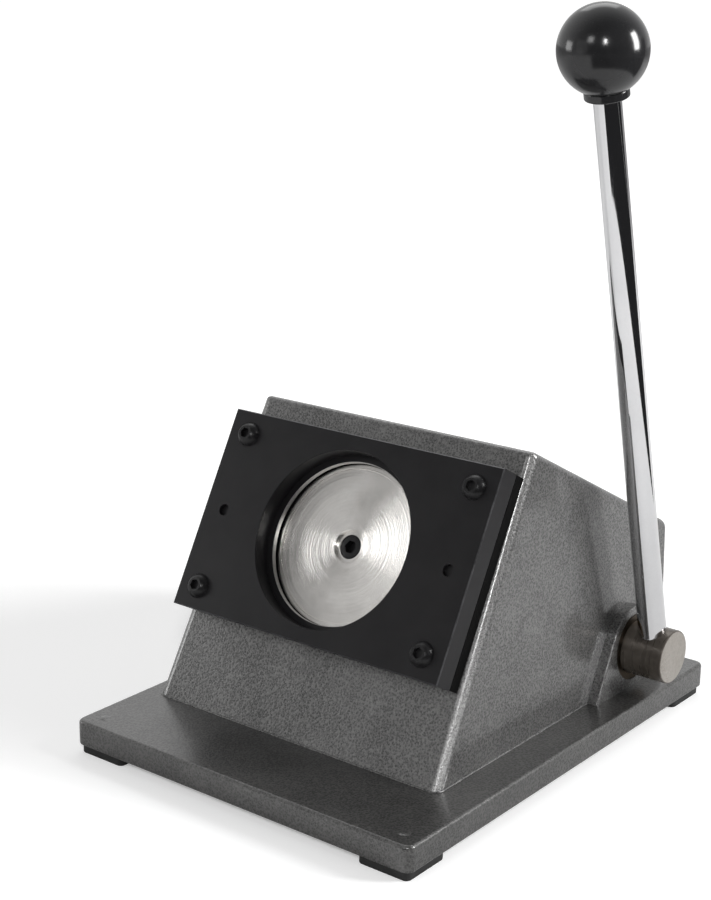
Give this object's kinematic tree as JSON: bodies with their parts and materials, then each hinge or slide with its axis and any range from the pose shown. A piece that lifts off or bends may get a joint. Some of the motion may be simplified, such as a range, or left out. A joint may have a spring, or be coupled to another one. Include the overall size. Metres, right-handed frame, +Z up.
{
  "type": "button badge maker",
  "caption": "Desktop lever punch that cuts round badge papers: sloping housing on a base plate, face-mounted die, side lever with ball knob.",
  "frame": {"origin": "middle of the footprint, on the floor under the rubber feet", "axes": "+X to the right, where the lever is; +Y to the back; +Z up"},
  "size_m": [0.1904, 0.229, 0.3134],
  "materials": {
    "hammertone_paint": "hammertone enamel, satin",
    "rubber_black": "matt",
    "black_oxide": "black oxide, oiled",
    "turned_steel": "fine turned",
    "ground_steel": "ground",
    "spring_steel": "drawn wire",
    "aged_steel": "dark scale with a bright turned end",
    "zinc_screw": "zinc plated",
    "bronze": "oiled bronze",
    "brass": "turned brass",
    "chrome": "mirror plated",
    "gloss_black": "polished phenolic",
    "guide_steel": "machined casting"
  },
  "bodies": {
    "frame": {"base_plate": "hammertone_paint", "rubber_feet": "rubber_black", "foot_screws": "hammertone_paint", "housing": "hammertone_paint", "body_screws": "black_oxide", "side_bearing_plate": "hammertone_paint", "right_bush": "bronze", "left_bush": "bronze", "guide_plate": "black_oxide", "slot_spacers": "black_oxide", "die_plate": "black_oxide", "die_screws": "black_oxide", "dowel_pins": "black_oxide", "ram_guide": "guide_steel", "ram_bush": "bronze", "guide_screws": "zinc_screw", "return_spring": "spring_steel"},
    "punch_unit": {"punch": "turned_steel", "punch_screw": "black_oxide", "ram": "ground_steel", "spring_seat": "zinc_screw", "seat_ring": "spring_steel", "roller_pin": "ground_steel"},
    "roller": {"follower_roller": "ground_steel"},
    "lever_unit": {"cross_shaft": "aged_steel", "cam": "ground_steel", "cam_key": "ground_steel", "set_collars": "zinc_screw", "collar_screws": "black_oxide", "lever_rod": "chrome", "knob_collar": "gloss_black", "knob_insert": "brass", "ball_knob": "gloss_black"}
  },
  "joints": [
    {"name": "lever_turn", "type": "hinge", "parent": "frame", "child": "lever_unit", "pos_m": [-0.01173, 0.07041, 0.03318], "axis": [1, 0, 0], "range_deg": [0, 65], "stiffness_Nm_per_rad": 0.9, "springref_deg": -57.3},
    {"name": "punch_slide", "type": "slide", "parent": "frame", "child": "punch_unit", "axis": [0, -0.8796, 0.4756], "range_m": [0, 0.008], "deforming": ["return_spring"]},
    {"name": "roller_turn", "type": "hinge", "parent": "punch_unit", "child": "roller", "pos_m": [-0.01173, 0.04749, 0.04557], "axis": [1, 0, 0], "range_deg": [-135, 0]}
  ],
  "couplings": [
    {"joint": "punch_slide", "follows": "lever_turn", "m_per_rad": 0.007052},
    {"joint": "roller_turn", "follows": "lever_turn", "ratio": -2}
  ]
}
